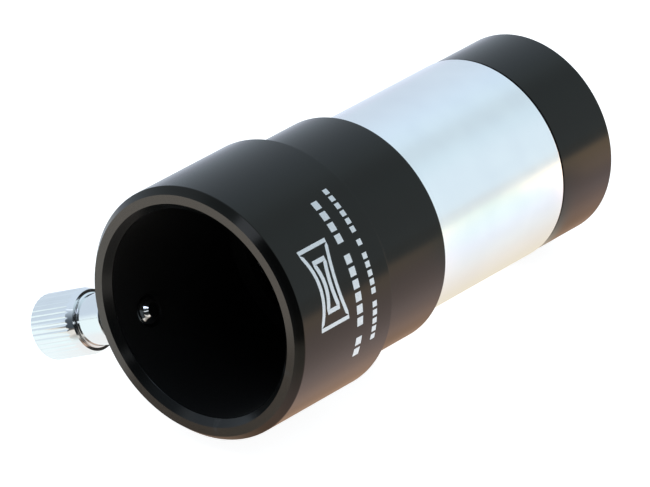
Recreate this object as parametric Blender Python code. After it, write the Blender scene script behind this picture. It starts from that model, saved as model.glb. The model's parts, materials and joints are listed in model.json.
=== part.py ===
"""Short 2x Barlow lens for 1.25-inch eyepieces, built piece by piece.

Metres, +Z up. The optical axis is the Y axis. The eyepiece socket opens towards -Y and the lens
cell points towards +Y. The origin is on the axis, in the plane of the holder's end face, which
seats against a focuser when the nosepiece barrel is pushed in. The Barlow lies on its side, and
the thumbscrew points towards -X and a little below the horizontal.
"""

import math

import bmesh
import bpy

MM = 0.001

# Standard 1.25-inch fit
NOSEPIECE_R = 31.75 / 2 * MM
SOCKET_R = 31.9 / 2 * MM

# Gap kept between pieces that touch, and the small bevel that breaks a sharp turned edge
GAP = 0.3 * MM
EDGE = 0.12 * MM

# Eyepiece holder: a wide socket with a narrower collar behind it
HOLDER_R = 38.6 / 2 * MM
HOLDER_LENGTH = 21.2 * MM
COLLAR_R = 34.9 / 2 * MM
COLLAR_LENGTH = 15.0 * MM
RIM_INNER_R = 17.0 * MM
RIM_OUTER_R = 18.35 * MM
RIM_CHAMFER = 1.25 * MM
SOCKET_DEPTH = 27.7 * MM
WEB_THICKNESS = 1.5 * MM
WEB_HOLE_R = 13.5 * MM

# Nosepiece barrel: seated in a recess in the collar's face and screwed in behind it, with a
# filter thread in its far end
BARREL_LENGTH = 30.6 * MM
BARREL_BORE_R = 13.7 * MM
BARREL_SPIGOT_R = 15.0 * MM
BARREL_SPIGOT_LENGTH = 6.6 * MM
BARREL_SEAT_R = NOSEPIECE_R + GAP
BARREL_SEAT_DEPTH = 1.0 * MM
FILTER_THREAD_R = 28.5 / 2 * MM
FILTER_THREAD_DEPTH = 4.6 * MM
GLARE_STOP_HOLE_R = 11.9 * MM
GLARE_STOP_THICKNESS = 1.2 * MM
GLARE_STOP_Y = 12.0 * MM

# Lens cell: screwed into the barrel's far end
CELL_R = 31.5 / 2 * MM
CELL_END_Y = 42.75 * MM
CELL_SPIGOT_LENGTH = 3.9 * MM
CELL_REAR_HOLE_R = 11.2 * MM
CELL_REAR_TAPER = 0.9 * MM
SEAT_HOLE_R = 10.2 * MM
SEAT_THICKNESS = 1.3 * MM
CELL_RECESS_DEPTH = 4.4 * MM
CELL_MOUTH_CHAMFER = 0.3 * MM

# Cemented pair: a biconcave crown and a flint meniscus, each named by its radius of curvature
LENS_R = 11.2 * MM
CROWN_REAR_CURVE = 36.4 * MM
SHARED_CURVE = 26.7 * MM
FLINT_FRONT_CURVE = 143.0 * MM
CROWN_CENTRE = 1.4 * MM
FLINT_EDGE = 1.1 * MM

# Ring that clamps the pair, with two slots for a lens spanner
RING_OUTER_R = 12.0 * MM
RING_HOLE_R = 10.4 * MM
RING_THICKNESS = 1.37 * MM
SPANNER_SLOT_WIDTH = 1.2 * MM
SPANNER_SLOT_DEPTH = 0.6 * MM

# Thumbscrew: distances are measured outwards from the optical axis
SCREW_DROP = math.radians(24.0)
SCREW_FROM_RIM = 7.6 * MM
SCREW_TIP = 14.95 * MM
SCREW_SHANK_R = 1.85 * MM
SCREW_TIP_R = 1.45 * MM
NECK_START = 22.4 * MM
NECK_R = 3.9 * MM
NECK_BEVEL = 0.25 * MM
STUD_SPIGOT_R = 2.7 * MM
STUD_SPIGOT_LENGTH = 4.9 * MM
KNOB_START = 27.15 * MM
KNOB_LIP_R = 4.55 * MM
KNURL_START = 28.4 * MM
KNURL_R = 4.96 * MM
KNURL_DEPTH = 0.16 * MM
KNURL_TEETH = 36
KNOB_END = 35.95 * MM
KNOB_END_CHAMFER = 0.5 * MM
KNOB_RECESS_R = 4.45 * MM
KNOB_RECESS_DEPTH = 1.55 * MM

# How far a cutter reaches past the wall that it cuts
CUT_MARGIN = 2.0 * MM

# Steps round each turned piece, rings across a lens face, and how meshes are joined and shaded
BODY_STEPS = 64
LENS_STEPS = 48
SCREW_STEPS = 32
LENS_RINGS = 5
MERGE = 0.01 * MM
SHARP_ANGLE = math.radians(20.0)

# Positions along the optical axis that several pieces share
RIM_Y = -(HOLDER_LENGTH + COLLAR_LENGTH)
STEP_Y = -COLLAR_LENGTH
WEB_FRONT_Y = RIM_Y + SOCKET_DEPTH
WEB_BACK_Y = WEB_FRONT_Y + WEB_THICKNESS
CELL_START_Y = BARREL_LENGTH + GAP
CELL_SPIGOT_END_Y = CELL_START_Y - CELL_SPIGOT_LENGTH
SEAT_Y = CELL_SPIGOT_END_Y + CELL_REAR_TAPER + SEAT_THICKNESS
CELL_RECESS_Y = CELL_END_Y - CELL_RECESS_DEPTH


def sagitta(curve_radius, radius):
    """Depth of a spherical face of the given curve at a distance from its axis."""
    return curve_radius - math.sqrt(curve_radius ** 2 - radius ** 2)


CROWN_REAR_EDGE_Y = SEAT_Y + GAP
CROWN_REAR_VERTEX_Y = CROWN_REAR_EDGE_Y + sagitta(CROWN_REAR_CURVE, LENS_R)
CROWN_FRONT_VERTEX_Y = CROWN_REAR_VERTEX_Y + CROWN_CENTRE
CROWN_FRONT_EDGE_Y = CROWN_FRONT_VERTEX_Y + sagitta(SHARED_CURVE, LENS_R)
FLINT_REAR_EDGE_Y = CROWN_FRONT_EDGE_Y + GAP
FLINT_FRONT_EDGE_Y = FLINT_REAR_EDGE_Y + FLINT_EDGE
RING_Y = FLINT_FRONT_EDGE_Y + GAP


def clear_scene():
    """Remove the objects that the scene starts with."""
    for old in list(bpy.data.objects):
        bpy.data.objects.remove(old, do_unlink=True)


def make_material(name, colour, roughness, metallic, alpha=1.0):
    """A Principled surface for one kind of finish."""
    material = bpy.data.materials.new(name)
    material.use_nodes = True
    shader = material.node_tree.nodes["Principled BSDF"]
    shader.inputs["Base Color"].default_value = (*colour, 1.0)
    shader.inputs["Roughness"].default_value = roughness
    shader.inputs["Metallic"].default_value = metallic
    shader.inputs["Alpha"].default_value = alpha
    return material


def add_shape(name, shape, material, parent):
    """Put a finished bmesh in the scene as a named object, in its parent's frame."""
    bmesh.ops.recalc_face_normals(shape, faces=shape.faces)
    mesh = bpy.data.meshes.new(name)
    shape.to_mesh(mesh)
    shape.free()
    mesh.materials.append(material)
    mesh.shade_smooth()
    mesh.set_sharp_from_angle(angle=SHARP_ANGLE)
    piece = bpy.data.objects.new(name, mesh)
    piece.parent = parent
    bpy.context.scene.collection.objects.link(piece)
    return piece


def turned(name, profile, steps, material, parent, closed=True):
    """Turn a profile of (radius, height) points about the parent's Z axis.

    A closed profile makes a ring, and an open one starts and ends on the axis.
    """
    shape = bmesh.new()
    points = [shape.verts.new((radius, 0.0, height)) for radius, height in profile]
    edges = [shape.edges.new(pair) for pair in zip(points, points[1:])]
    if closed:
        edges.append(shape.edges.new((points[-1], points[0])))
    bmesh.ops.spin(
        shape,
        geom=points + edges,
        cent=(0.0, 0.0, 0.0),
        axis=(0.0, 0.0, 1.0),
        angle=math.tau,
        steps=steps,
        use_merge=True,
    )
    bmesh.ops.remove_doubles(shape, verts=shape.verts, dist=MERGE)
    return add_shape(name, shape, material, parent)


def cut(piece, cutter):
    """Take the cutter's shape out of a piece."""
    cutter.hide_render = True
    cutter.display_type = "WIRE"
    boolean = piece.modifiers.new("Cut", "BOOLEAN")
    boolean.operation = "DIFFERENCE"
    boolean.solver = "EXACT"
    boolean.object = cutter


def add_axis(name, location, rotation):
    """An empty that carries pieces on a joint's axis, with its Z along that axis."""
    axis = bpy.data.objects.new(name, None)
    axis.location = location
    axis.rotation_euler = rotation
    bpy.context.scene.collection.objects.link(axis)
    return axis


def spherical_face(curve_radius, edge_y, bulge):
    """Points across a lens face, from its edge to its centre. bulge is +1 or -1 along the axis."""
    points = []
    for i in range(LENS_RINGS + 1):
        radius = LENS_R * (1 - i / LENS_RINGS)
        rise = sagitta(curve_radius, LENS_R) - sagitta(curve_radius, radius)
        points.append((radius, edge_y + bulge * rise))
    return points


def build_holder(optical_axis, screw_axis, material):
    """The socket, its rim and chamfers, the collar, and the tapped hole for the thumbscrew."""
    socket_chamfer = RIM_INNER_R - SOCKET_R
    spigot_bore_r = BARREL_SPIGOT_R + GAP
    profile = [
        (COLLAR_R - EDGE, 0.0),
        (COLLAR_R, -EDGE),
        (COLLAR_R, STEP_Y),
        (HOLDER_R - EDGE, STEP_Y),
        (HOLDER_R, STEP_Y - EDGE),
        (HOLDER_R, RIM_Y + RIM_CHAMFER),
        (RIM_OUTER_R, RIM_Y),
        (RIM_INNER_R, RIM_Y),
        (SOCKET_R, RIM_Y + socket_chamfer),
        (SOCKET_R, WEB_FRONT_Y),
        (WEB_HOLE_R, WEB_FRONT_Y),
        (WEB_HOLE_R, WEB_BACK_Y),
        (spigot_bore_r, WEB_BACK_Y),
        (spigot_bore_r, -BARREL_SEAT_DEPTH),
        (BARREL_SEAT_R, -BARREL_SEAT_DEPTH),
        (BARREL_SEAT_R, 0.0),
    ]
    holder = turned("eyepiece_holder", profile, BODY_STEPS, material, optical_axis)
    hole_r = SCREW_SHANK_R + GAP
    hole = [
        (0.0, HOLDER_R + CUT_MARGIN),
        (hole_r, HOLDER_R + CUT_MARGIN),
        (hole_r, SOCKET_R - CUT_MARGIN),
        (0.0, SOCKET_R - CUT_MARGIN),
    ]
    cut(holder, turned("tapped_hole", hole, SCREW_STEPS, material, screw_axis, closed=False))


def build_barrel(optical_axis, material):
    """The bright 1.25-inch tube, with a spigot at the collar and a filter thread at the far end."""
    thread_start_y = BARREL_LENGTH - FILTER_THREAD_DEPTH
    shoulder_y = GAP - BARREL_SEAT_DEPTH
    profile = [
        (NOSEPIECE_R - EDGE, BARREL_LENGTH),
        (NOSEPIECE_R, BARREL_LENGTH - EDGE),
        (NOSEPIECE_R, shoulder_y),
        (BARREL_SPIGOT_R, shoulder_y),
        (BARREL_SPIGOT_R, -BARREL_SPIGOT_LENGTH),
        (BARREL_BORE_R, -BARREL_SPIGOT_LENGTH),
        (BARREL_BORE_R, thread_start_y),
        (FILTER_THREAD_R, thread_start_y),
        (FILTER_THREAD_R, BARREL_LENGTH),
    ]
    turned("nosepiece_barrel", profile, BODY_STEPS, material, optical_axis)


def build_glare_stop(optical_axis, material):
    """A thin blackened ring inside the barrel that stops light glancing off its wall."""
    outer_r = BARREL_BORE_R - GAP
    profile = [
        (outer_r, GLARE_STOP_Y + GLARE_STOP_THICKNESS),
        (outer_r, GLARE_STOP_Y),
        (GLARE_STOP_HOLE_R, GLARE_STOP_Y),
        (GLARE_STOP_HOLE_R, GLARE_STOP_Y + GLARE_STOP_THICKNESS),
    ]
    turned("glare_stop", profile, LENS_STEPS, material, optical_axis)


def build_cell(optical_axis, material):
    """The black end piece that holds the lens pair, with a filter thread in its front."""
    spigot_r = FILTER_THREAD_R - GAP
    pocket_r = LENS_R + GAP
    ring_bore_r = RING_OUTER_R + GAP
    seat_start_y = SEAT_Y - SEAT_THICKNESS
    profile = [
        (CELL_R - EDGE, CELL_END_Y),
        (CELL_R, CELL_END_Y - EDGE),
        (CELL_R, CELL_START_Y + EDGE),
        (CELL_R - EDGE, CELL_START_Y),
        (spigot_r, CELL_START_Y),
        (spigot_r, CELL_SPIGOT_END_Y),
        (CELL_REAR_HOLE_R, CELL_SPIGOT_END_Y),
        (SEAT_HOLE_R, seat_start_y),
        (SEAT_HOLE_R, SEAT_Y),
        (pocket_r, SEAT_Y),
        (pocket_r, RING_Y - GAP),
        (ring_bore_r, RING_Y - GAP),
        (ring_bore_r, CELL_RECESS_Y),
        (FILTER_THREAD_R, CELL_RECESS_Y),
        (FILTER_THREAD_R, CELL_END_Y - CELL_MOUTH_CHAMFER),
        (FILTER_THREAD_R + CELL_MOUTH_CHAMFER, CELL_END_Y),
    ]
    turned("lens_cell", profile, BODY_STEPS, material, optical_axis)


def build_lenses(optical_axis, crown_material, flint_material):
    """The biconcave crown on the barrel's side, and the flint meniscus in front of it."""
    crown = spherical_face(SHARED_CURVE, CROWN_FRONT_EDGE_Y, -1)[::-1]
    crown += spherical_face(CROWN_REAR_CURVE, CROWN_REAR_EDGE_Y, 1)
    turned("crown_lens", crown, LENS_STEPS, crown_material, optical_axis, closed=False)
    flint = spherical_face(FLINT_FRONT_CURVE, FLINT_FRONT_EDGE_Y, -1)[::-1]
    flint += spherical_face(SHARED_CURVE, FLINT_REAR_EDGE_Y, -1)
    turned("flint_lens", flint, LENS_STEPS, flint_material, optical_axis, closed=False)


def build_retaining_ring(optical_axis, material):
    """The threaded ring in front of the lens pair, slotted across for a spanner."""
    front_y = RING_Y + RING_THICKNESS
    profile = [
        (RING_OUTER_R, front_y),
        (RING_OUTER_R, RING_Y),
        (RING_HOLE_R, RING_Y),
        (RING_HOLE_R, front_y),
    ]
    ring = turned("retaining_ring", profile, LENS_STEPS, material, optical_axis)
    reach = RING_OUTER_R + CUT_MARGIN
    shape = bmesh.new()
    bmesh.ops.create_cube(shape, size=1.0)
    size = (2 * reach, SPANNER_SLOT_WIDTH, 2 * SPANNER_SLOT_DEPTH)
    bmesh.ops.scale(shape, verts=shape.verts, vec=size)
    bmesh.ops.translate(shape, verts=shape.verts, vec=(0.0, 0.0, front_y))
    cut(ring, add_shape("spanner_slots", shape, material, optical_axis))


def build_stud(screw_axis, material):
    """The steel stud: chamfered tip, threaded shank, round neck and the spigot in the knob."""
    spigot_start = KNOB_START + KNOB_RECESS_DEPTH - GAP
    tip_chamfer = SCREW_SHANK_R - SCREW_TIP_R
    profile = [
        (0.0, spigot_start + STUD_SPIGOT_LENGTH),
        (STUD_SPIGOT_R, spigot_start + STUD_SPIGOT_LENGTH),
        (STUD_SPIGOT_R, spigot_start),
        (NECK_R, spigot_start),
        (NECK_R, NECK_START + NECK_BEVEL),
        (NECK_R - NECK_BEVEL, NECK_START),
        (SCREW_SHANK_R, NECK_START),
        (SCREW_SHANK_R, SCREW_TIP + tip_chamfer),
        (SCREW_TIP_R, SCREW_TIP),
        (0.0, SCREW_TIP),
    ]
    turned("thumbscrew_stud", profile, SCREW_STEPS, material, screw_axis, closed=False)


def build_knob(screw_axis, material):
    """The knurled cap: rings of points stacked from the middle of its end to its inner bore."""
    bore_r = STUD_SPIGOT_R + GAP
    bore_end = KNOB_START + KNOB_RECESS_DEPTH + STUD_SPIGOT_LENGTH
    recess_floor = KNOB_START + KNOB_RECESS_DEPTH
    # Each ring: radius at the tops of the teeth, radius between them, height along the axis
    rings = [
        (KNURL_R - KNOB_END_CHAMFER, KNURL_R - KNOB_END_CHAMFER, KNOB_END),
        (KNURL_R, KNURL_R - KNURL_DEPTH, KNOB_END - KNOB_END_CHAMFER),
        (KNURL_R, KNURL_R - KNURL_DEPTH, KNURL_START),
        (KNOB_LIP_R, KNOB_LIP_R, KNOB_START),
        (KNOB_RECESS_R, KNOB_RECESS_R, KNOB_START),
        (KNOB_RECESS_R, KNOB_RECESS_R, recess_floor),
        (bore_r, bore_r, recess_floor),
        (bore_r, bore_r, bore_end),
    ]
    count = 2 * KNURL_TEETH
    shape = bmesh.new()
    loops = []
    for crest_r, root_r, height in rings:
        loop = []
        for i in range(count):
            radius = root_r if i % 2 else crest_r
            angle = math.tau * i / count
            loop.append(shape.verts.new((radius * math.cos(angle), radius * math.sin(angle), height)))
        loops.append(loop)
    for upper, lower in zip(loops, loops[1:]):
        for i in range(count):
            j = (i + 1) % count
            shape.faces.new((upper[i], lower[i], lower[j], upper[j]))
    shape.faces.new(loops[0])
    shape.faces.new(loops[-1])
    add_shape("thumbscrew_knob", shape, material, screw_axis)


def main():
    clear_scene()
    black = make_material("black_anodised", (0.018, 0.018, 0.020), 0.38, 0.0)
    flat_black = make_material("flat_black", (0.010, 0.010, 0.010), 0.80, 0.0)
    chrome = make_material("satin_chrome", (0.80, 0.82, 0.84), 0.28, 1.0)
    bright = make_material("bright_chrome", (0.86, 0.87, 0.88), 0.14, 1.0)
    crown_glass = make_material("crown_glass", (0.80, 0.88, 0.86), 0.02, 0.0, alpha=0.3)
    flint_glass = make_material("flint_glass", (0.72, 0.86, 0.80), 0.02, 0.0, alpha=0.3)

    optical_axis = add_axis("optical_axis", (0.0, 0.0, 0.0), (-math.pi / 2, 0.0, 0.0))
    screw_y = RIM_Y + SCREW_FROM_RIM
    screw_axis = add_axis("screw_axis", (0.0, screw_y, 0.0), (0.0, -math.pi / 2 - SCREW_DROP, 0.0))

    build_holder(optical_axis, screw_axis, black)
    build_barrel(optical_axis, chrome)
    build_glare_stop(optical_axis, flat_black)
    build_cell(optical_axis, black)
    build_lenses(optical_axis, crown_glass, flint_glass)
    build_retaining_ring(optical_axis, flat_black)
    build_stud(screw_axis, bright)
    build_knob(screw_axis, bright)


main()
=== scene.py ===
"""Looks of a short 1.25-inch Barlow lens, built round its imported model.

Metres, +Z up. The optical axis is the world's Y axis, with the eyepiece socket towards -Y and the
lens cell towards +Y. Every turned piece is made about its own Z axis and then placed on the
optical axis or on the thumbscrew's axis, so its materials can tell radius from length.
"""

import json
import math

import bmesh
import bpy
from mathutils import Matrix, Vector


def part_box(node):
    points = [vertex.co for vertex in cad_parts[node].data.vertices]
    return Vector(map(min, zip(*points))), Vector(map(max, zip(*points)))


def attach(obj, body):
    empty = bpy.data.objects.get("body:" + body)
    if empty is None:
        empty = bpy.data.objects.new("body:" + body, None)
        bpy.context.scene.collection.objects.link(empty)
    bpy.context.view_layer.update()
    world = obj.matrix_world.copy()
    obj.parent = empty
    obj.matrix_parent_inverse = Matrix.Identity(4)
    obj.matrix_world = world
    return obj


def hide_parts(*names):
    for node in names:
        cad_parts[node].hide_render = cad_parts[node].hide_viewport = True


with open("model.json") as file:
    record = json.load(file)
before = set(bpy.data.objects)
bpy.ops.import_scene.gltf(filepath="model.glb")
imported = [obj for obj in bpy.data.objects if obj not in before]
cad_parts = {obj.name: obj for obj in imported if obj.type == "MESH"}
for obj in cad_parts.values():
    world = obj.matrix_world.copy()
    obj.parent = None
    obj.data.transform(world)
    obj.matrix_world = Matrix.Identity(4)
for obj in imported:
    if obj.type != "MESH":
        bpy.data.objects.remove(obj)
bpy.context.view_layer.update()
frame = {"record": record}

MM = 0.001


# ---------------------------------------------------------------- places that the frame gives

def extent(node):
    """A CAD node's largest radius about the optical axis, its first Y and its last Y."""
    low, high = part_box(node)
    return high[0], low[1], high[1]


def joint(name):
    """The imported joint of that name."""
    return next(j for j in frame["record"]["behaviour"]["joints"] if j["name"] == name)


HOLDER_R, RIM_Y, COLLAR_END_Y = extent("eyepiece_holder")
BARREL_R, BARREL_START_Y, BARREL_END_Y = extent("nosepiece_barrel")
CELL_R, CELL_START_Y, CELL_END_Y = extent("lens_cell")
_, STOP_START_Y, STOP_END_Y = extent("glare_stop")
RING_R, RING_START_Y, RING_END_Y = extent("retaining_ring")
LENS_R, CROWN_START_Y, _ = extent("crown_lens")
FLINT_END_Y = extent("flint_lens")[2]

SCREW = joint("thumbscrew_turn")
SCREW_OUT = Vector(SCREW["axis"]).normalized()
SCREW_FOOT = Vector(SCREW["pos_m"])
SCREW_TRAVEL = joint("thumbscrew_travel")["range_m"][1]

# Each turned piece's own frame: local Z lies along the optical axis or out along the thumbscrew
OPTICAL_FRAME = Matrix.Rotation(-math.pi / 2, 4, "X")
SCREW_TURN = SCREW_OUT.to_track_quat("Z", "Y").to_matrix().to_4x4()
SCREW_FRAME = Matrix.Translation(SCREW_FOOT) @ SCREW_TURN


# ---------------------------------------------------------------- sizes of the fine shapes

BODY_STEPS = 320
LENS_STEPS = 160
SCREW_STEPS = 96
FILLET_STEPS = 4
MERGE = 0.0005 * MM
SHARP_ANGLE = math.radians(32.0)

# The usual fillet, and the gap between pieces that touch
EDGE = 0.10 * MM
FIT = 0.05 * MM

# How far a cutter reaches past what it cuts
OVERRUN = 2 * MM

# Holder
STEP_Y = -15.0 * MM
COLLAR_R = 17.45 * MM
RIM_OUTER_R = 18.35 * MM
RIM_INNER_R = 17.0 * MM
RIM_CHAMFER = 1.25 * MM
SOCKET_R = 15.95 * MM
SOCKET_DEPTH = 27.7 * MM
WEB_THICKNESS = 1.5 * MM
WEB_HOLE_R = 13.5 * MM
SPIGOT_R = 15.0 * MM
SEAT_DEPTH = 1.0 * MM

# Barrel
BARREL_BORE_R = 13.7 * MM
BARREL_THREAD_LENGTH = 4.6 * MM
BARREL_MOUTH_CHAMFER = 0.12 * MM

# Glare stop
STOP_HOLE_R = 11.9 * MM
STOP_LIP = 0.25 * MM

# Where a thread's root ends, its crest starts and its crest ends, as shares of the pitch
ROOT_END = 0.25
CREST_START = 0.5625
CREST_END = 0.6875

# Filter thread, M28.5 x 0.6: its screw is on the cell, and its nut in the barrel and in the
# front of the cell
FILTER_PITCH = 0.6 * MM
FILTER_MALE_CREST_R = 14.20 * MM
FILTER_MALE_ROOT_R = 13.88 * MM
FILTER_FEMALE_ROOT_R = 14.28 * MM
FILTER_FEMALE_CREST_R = 13.97 * MM

# Cell
CELL_REAR_HOLE_R = 11.2 * MM
SEAT_HOLE_R = 10.2 * MM
SEAT_TAPER = 0.9 * MM
SEAT_THICKNESS = 1.3 * MM
RECESS_DEPTH = 4.4 * MM
CELL_SHOULDER_Y = BARREL_END_Y + 0.38 * MM
CELL_MOUTH_CHAMFER = 0.27 * MM
CELL_NOSE_CHAMFER = 0.10 * MM
CELL_RELIEF = 0.45 * MM

# Lenses
CROWN_REAR_CURVE = 36.4 * MM
SHARED_CURVE = 26.7 * MM
FLINT_FRONT_CURVE = 143.0 * MM
LENS_RINGS = 20
LENS_BEVEL = 0.12 * MM
FLINT_EDGE = 1.1 * MM
CEMENT = 0.01 * MM

# Retaining ring and its spanner slots: its rear face comes up to the lens
RING_REAR_Y = RING_START_Y - 0.25 * MM
RING_HOLE_R = 10.4 * MM
RING_LIP = 0.5 * MM
RING_BEVEL = 0.4 * MM
SLOT_WIDTH = 1.2 * MM
SLOT_DEPTH = 0.6 * MM

# Thumbscrew, M4 x 0.7: heights are distances outwards from the optical axis
SCREW_PITCH = 0.7 * MM
STUD_CREST_R = 1.97 * MM
STUD_ROOT_R = 1.60 * MM
TAP_ROOT_R = 2.05 * MM
TAP_CREST_R = 1.68 * MM
TAP_COUNTERSINK = 0.5 * MM
SCREW_TIP = 14.95 * MM
TIP_FLAT_R = 1.12 * MM
NECK_START = 22.4 * MM
NECK_UNDERCUT = 0.9 * MM
NECK_R = 3.9 * MM
NECK_COLLAR_R = 4.10 * MM
NECK_COLLAR_START = 26.95 * MM
NECK_COLLAR_CHAMFER = 0.10 * MM
STUD_SPIGOT_R = 2.7 * MM
STUD_SPIGOT_LENGTH = 4.9 * MM
KNOB_START = 27.15 * MM
KNOB_LIP_R = 4.55 * MM
KNURL_START = 28.4 * MM
KNURL_R = 4.96 * MM
KNURL_DEPTH = 0.12 * MM
KNURL_TEETH = 36
KNURL_GROOVE = 0.24
SAMPLES_PER_TOOTH = 10
KNOB_END = 35.95 * MM
KNOB_END_CHAMFER = 0.5 * MM
KNOB_RECESS_DEPTH = 1.55 * MM
KNOB_DISH_R = 3.2 * MM
KNOB_DISH_DEPTH = 0.35 * MM
KNOB_CONE_ROWS = 8


# ---------------------------------------------------------------- mesh helpers

def rounded(corners, closed=False):
    """A profile from (radius, height, fillet) corners, with a short arc at each filleted one."""
    points = []
    count = len(corners)
    for i, (radius, height, fillet) in enumerate(corners):
        here = Vector((radius, height))
        inner = closed or 0 < i < count - 1
        if not fillet or not inner:
            points.append((radius, height))
            continue
        before = (Vector(corners[i - 1][:2]) - here).normalized() * fillet
        after = (Vector(corners[(i + 1) % count][:2]) - here).normalized() * fillet
        for step in range(FILLET_STEPS + 1):
            t = step / FILLET_STEPS
            point = here + before * (1 - t) ** 2 + after * t ** 2
            points.append((point.x, point.y))
    return points


def on_circle(radius, angle, height):
    """A point at that radius and angle about Z."""
    return radius * math.cos(angle), radius * math.sin(angle), height


def add_wall(shape, points, steps, slot=0, limit=None):
    """Turn (radius, height) points about Z. limit gives the largest radius at each step."""
    rings = []
    for radius, height in points:
        ring = []
        for i in range(steps):
            angle = math.tau * i / steps
            reach = min(radius, limit(i)) if limit else radius
            ring.append(shape.verts.new(on_circle(reach, angle, height)))
        rings.append(ring)
    for lower, upper in zip(rings, rings[1:]):
        for i in range(steps):
            j = (i + 1) % steps
            face = shape.faces.new((lower[i], lower[j], upper[j], upper[i]))
            face.material_index = slot


def add_thread(shape, start, end, root_r, crest_r, pitch, steps, start_r, end_r, slot=0):
    """A right-handed thread between two heights, with a chamfer of its own at each end.

    crest_r is where a screw's crest lies, so a nut's thread has its larger radius there. Threads
    of one pitch on one axis are in step with each other wherever they start.
    """
    corners = ((0.0, root_r), (ROOT_END, root_r), (CREST_START, crest_r), (CREST_END, crest_r))
    first = start - pitch - start % pitch
    rows = len(corners) * (math.ceil((end - first) / pitch) + 2)

    def point(i, row):
        offset, radius = corners[row % len(corners)]
        height = first + pitch * (row // len(corners) + offset + i / steps)
        height = min(max(height, start), end)
        if start_r <= min(root_r, crest_r):
            radius = min(radius, start_r + height - start, end_r + end - height)
        else:
            radius = max(radius, start_r - height + start, end_r - end + height)
        return radius, height

    columns = []
    for i in range(steps):
        angle = math.tau * i / steps
        column = []
        for row in range(rows):
            radius, height = point(i, row)
            column.append(shape.verts.new(on_circle(radius, angle, height)))
        columns.append(column)
    for i in range(steps):
        shift = len(corners) if i == steps - 1 else 0
        here, there = columns[i], columns[(i + 1) % steps]
        for row in range(rows - 1 - shift):
            face = shape.faces.new(
                (here[row], there[row + shift], there[row + 1 + shift], here[row + 1])
            )
            face.material_index = slot


def add_piece(name, shape, matrix, materials, body, nodes=()):
    """Clean a bmesh, put it in the scene where its own frame lies, and tie it to its CAD body."""
    bmesh.ops.remove_doubles(shape, verts=shape.verts, dist=MERGE)
    bmesh.ops.dissolve_degenerate(shape, edges=shape.edges, dist=MERGE / 10)
    loose = [v for v in shape.verts if not v.link_faces]
    bmesh.ops.delete(shape, geom=loose, context="VERTS")
    bmesh.ops.recalc_face_normals(shape, faces=shape.faces)
    mesh = bpy.data.meshes.new(name)
    shape.to_mesh(mesh)
    shape.free()
    for material in materials:
        mesh.materials.append(material)
    mesh.shade_smooth()
    mesh.set_sharp_from_angle(angle=SHARP_ANGLE)
    piece = bpy.data.objects.new(name, mesh)
    piece.matrix_world = matrix
    bpy.context.scene.collection.objects.link(piece)
    if body:
        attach(piece, body)
    if nodes:
        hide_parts(*nodes)
    return piece


def cut(piece, cutter):
    """Take a cutter out of a piece for good, and remove the cutter."""
    boolean = piece.modifiers.new("Cut", "BOOLEAN")
    boolean.operation = "DIFFERENCE"
    boolean.solver = "EXACT"
    boolean.object = cutter
    bpy.context.view_layer.update()
    graph = bpy.context.evaluated_depsgraph_get()
    made = bpy.data.meshes.new_from_object(piece.evaluated_get(graph), depsgraph=graph)
    piece.modifiers.remove(boolean)
    old = piece.data
    piece.data = made
    made.name = piece.name
    bpy.data.meshes.remove(old)
    bpy.data.objects.remove(cutter, do_unlink=True)
    made.set_sharp_from_angle(angle=SHARP_ANGLE)


def steady_normals(piece):
    """Keep the large faces' own shading beside their narrow fillets."""
    weighted = piece.modifiers.new("Weighted normals", "WEIGHTED_NORMAL")
    weighted.keep_sharp = True
    weighted.mode = "FACE_AREA_WITH_ANGLE"
    return piece


# ---------------------------------------------------------------- shader helpers

# Nearly all of a noise texture's values lie between these
NOISE_LOW = 0.3
NOISE_HIGH = 0.7


def add_node(tree, kind, inputs=None, **settings):
    """A shader node with its settings and inputs. An input is a value or another node's output."""
    made = tree.nodes.new(kind)
    for name, value in settings.items():
        setattr(made, name, value)
    for name, value in (inputs or {}).items():
        if isinstance(value, bpy.types.NodeSocket):
            tree.links.new(value, made.inputs[name])
        else:
            made.inputs[name].default_value = value
    return made


def math_node(tree, operation, first, second=0.0):
    """The result of one arithmetic operation on two values."""
    return add_node(tree, "ShaderNodeMath", {0: first, 1: second}, operation=operation).outputs[0]


def along(tree, direction, way):
    """The dot product of a vector output with a fixed direction."""
    return add_node(
        tree, "ShaderNodeVectorMath", {0: direction, 1: way}, operation="DOT_PRODUCT"
    ).outputs["Value"]


def map_range(tree, value, low, high, at_low=0.0, at_high=1.0, **settings):
    """A value carried from the range low to high to the range at_low to at_high."""
    return add_node(
        tree,
        "ShaderNodeMapRange",
        {"Value": value, "From Min": low, "From Max": high, "To Min": at_low, "To Max": at_high},
        **settings,
    ).outputs["Result"]


def stepped(tree, value, low, high, at_low, at_high):
    """A value that passes smoothly from at_low to at_high as its input goes from low to high."""
    return map_range(tree, value, low, high, at_low, at_high, interpolation_type="SMOOTHSTEP")


def ramped(tree, value, low, high, stops):
    """A colour ramp over low to high. Each stop is (value, colour)."""
    ramp = add_node(tree, "ShaderNodeValToRGB", {0: map_range(tree, value, low, high)})
    elements = ramp.color_ramp.elements
    while len(elements) > 1:
        elements.remove(elements[-1])
    placed = [((place - low) / (high - low), (*colour, 1.0)) for place, colour in stops]
    elements[0].position, elements[0].color = placed[0]
    for position, colour in placed[1:]:
        elements.new(position).color = colour
    return ramp.outputs[0]


def mixed_colour(tree, factor, first, second, blend="MIX"):
    """Two colour outputs, or fixed colours, mixed by a factor."""
    node = add_node(tree, "ShaderNodeMix", {"Factor": factor}, data_type="RGBA", blend_type=blend)
    sockets = [s for s in node.inputs if s.type == "RGBA"]
    for socket, colour in zip(sockets, (first, second)):
        if isinstance(colour, bpy.types.NodeSocket):
            tree.links.new(colour, socket)
        else:
            socket.default_value = (*colour, 1.0)
    return next(s for s in node.outputs if s.type == "RGBA")


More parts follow.
